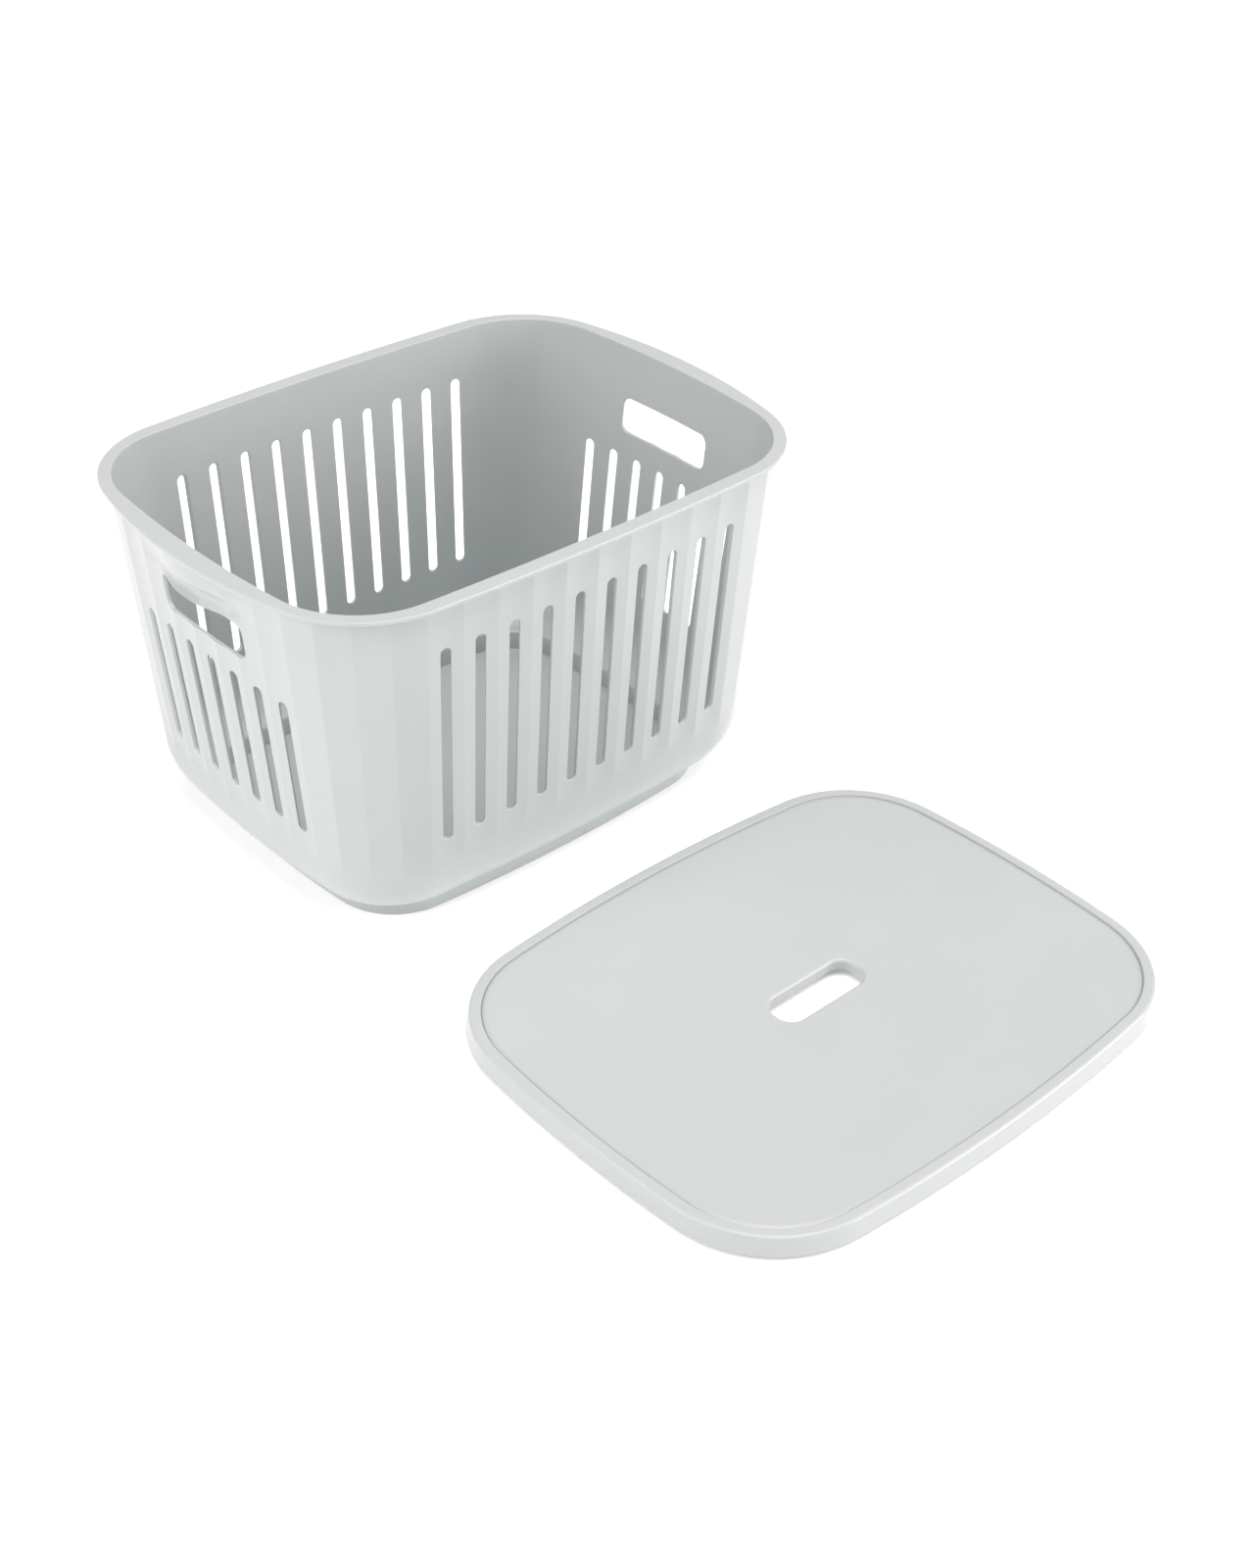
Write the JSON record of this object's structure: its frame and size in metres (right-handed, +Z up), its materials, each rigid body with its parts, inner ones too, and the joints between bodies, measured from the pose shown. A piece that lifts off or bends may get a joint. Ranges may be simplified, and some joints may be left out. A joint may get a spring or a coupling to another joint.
{
  "type": "laundry hamper with lid",
  "caption": "Rounded rectangular slotted plastic laundry basket with a flat rim and end hand holes, and a separate flat lid with a hand slot.",
  "frame": {"origin": "centre of the basket's underside, on the floor", "axes": "+X along the hamper's length, +Y across it away from the lid, +Z up"},
  "size_m": [0.4368, 0.6763, 0.262],
  "materials": {
    "basket_plastic": "satin light grey moulded polypropylene",
    "lid_plastic": "satin light grey moulded polypropylene"
  },
  "bodies": {
    "basket_body": {"basket": "basket_plastic"},
    "lid_body": {"lid": "lid_plastic"}
  },
  "joints": [
    {"name": "lid_lift", "type": "slide", "parent": "basket_body", "child": "lid_body", "axis": [0, 0, 1], "range_m": [0, 0.3]}
  ]
}
